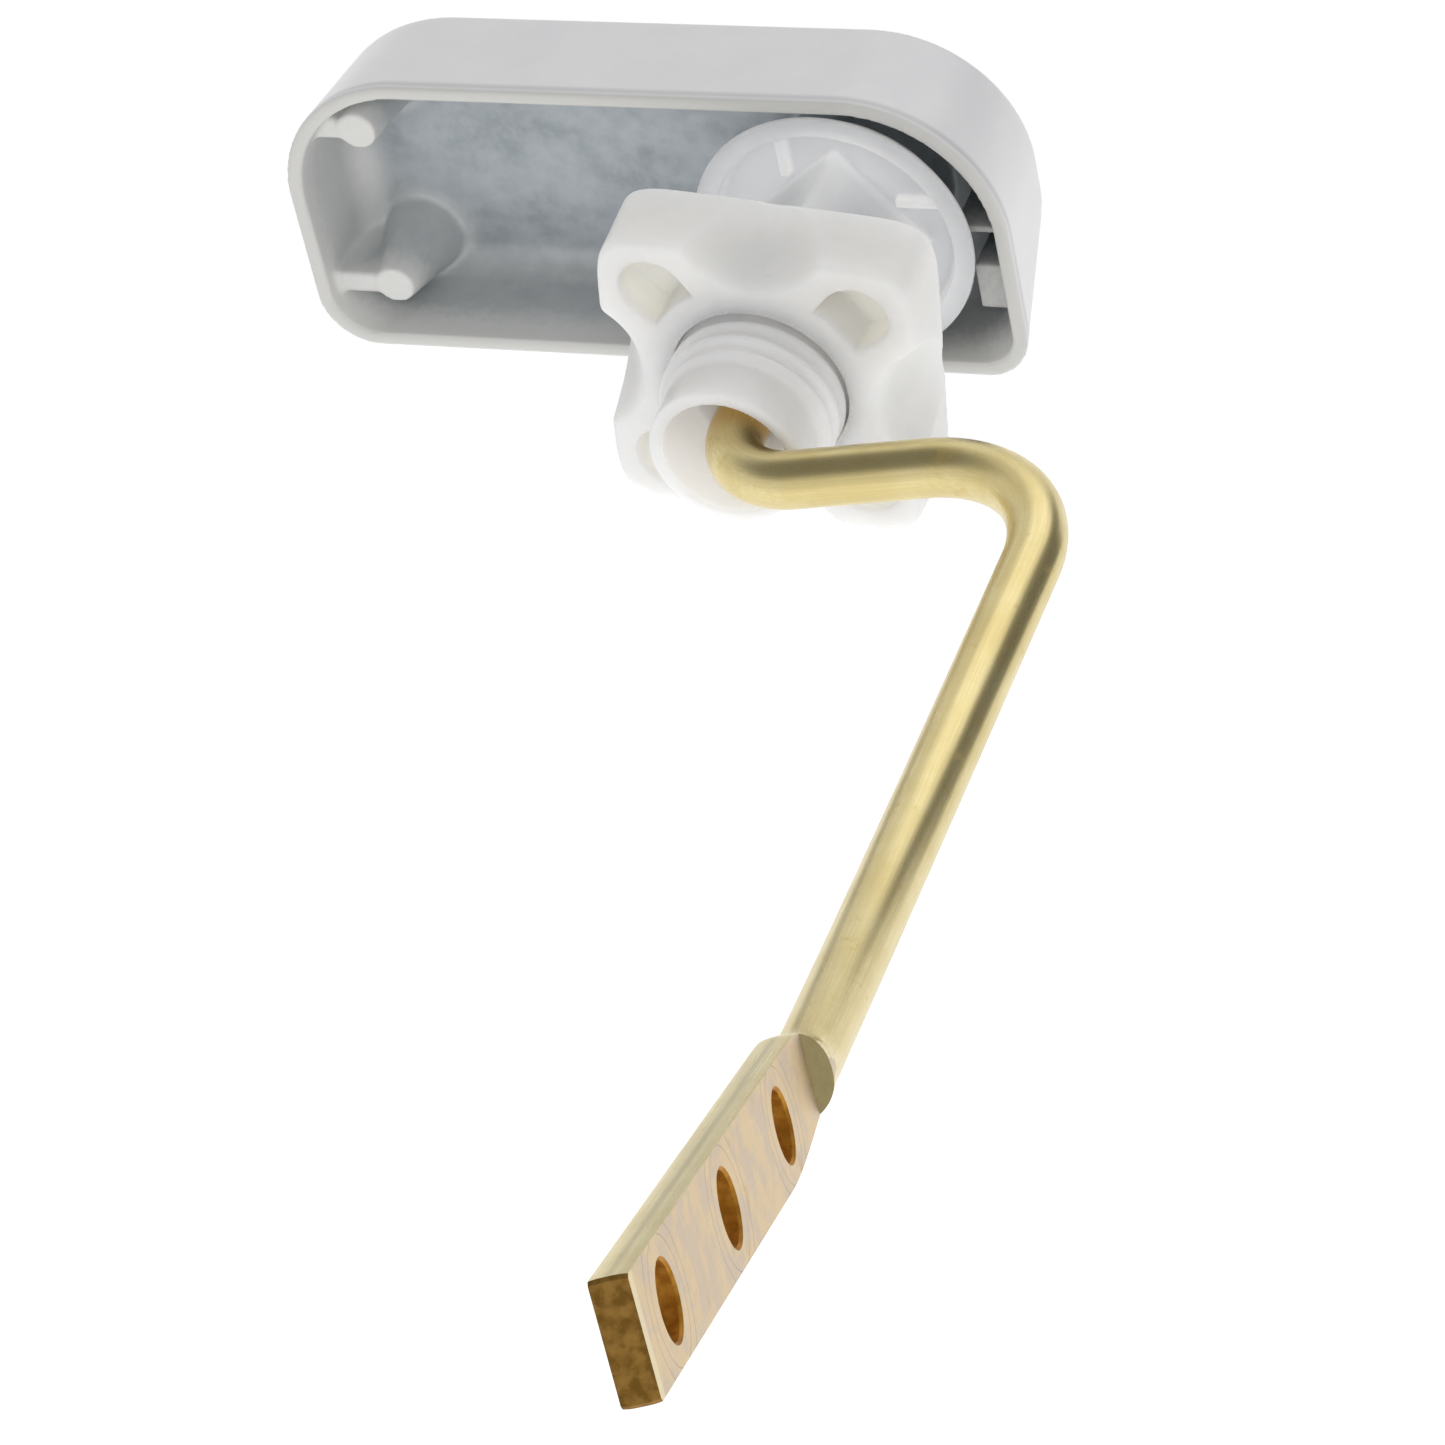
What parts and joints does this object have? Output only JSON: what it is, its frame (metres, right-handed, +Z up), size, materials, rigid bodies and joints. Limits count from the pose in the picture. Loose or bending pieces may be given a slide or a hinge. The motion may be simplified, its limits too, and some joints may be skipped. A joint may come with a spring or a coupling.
{
  "type": "toilet tank trip lever",
  "caption": "Side-mount flush lever: hollow white handle turning in a plastic bush with a lobed lock nut, and a bent brass lift arm with a flat, drilled end.",
  "frame": {"origin": "centre of the bush flange's clamping face, on the pivot axis", "axes": "+Y along the pivot axis, out of the tank to the front of the handle; +Z up; the grip points to -X and the arm reaches into the tank along -Y"},
  "size_m": [0.1257, 0.2244, 0.0819],
  "materials": {
    "coated_zinc": "white satin coat over die-cast zinc, thin inside",
    "drawn_brass": "bright drawn brass, milled flat",
    "pin_steel": "plain",
    "bush_plastic": "natural white moulded plastic",
    "nut_plastic": "natural white moulded plastic"
  },
  "bodies": {
    "bush": {"mounting_bush": "bush_plastic"},
    "lever": {"handle_shell": "coated_zinc", "arm_rod": "drawn_brass", "arm_pin": "pin_steel"},
    "nut": {"lock_nut": "nut_plastic"}
  },
  "joints": [
    {"name": "lever_turn", "type": "hinge", "parent": "bush", "child": "lever", "pos_m": [0, 0, 0], "axis": [0, -1, 0], "range_deg": [0, 35]},
    {"name": "nut_travel", "type": "slide", "parent": "bush", "child": "nut", "axis": [0, 1, 0], "range_m": [-0.005, 0.006]}
  ]
}
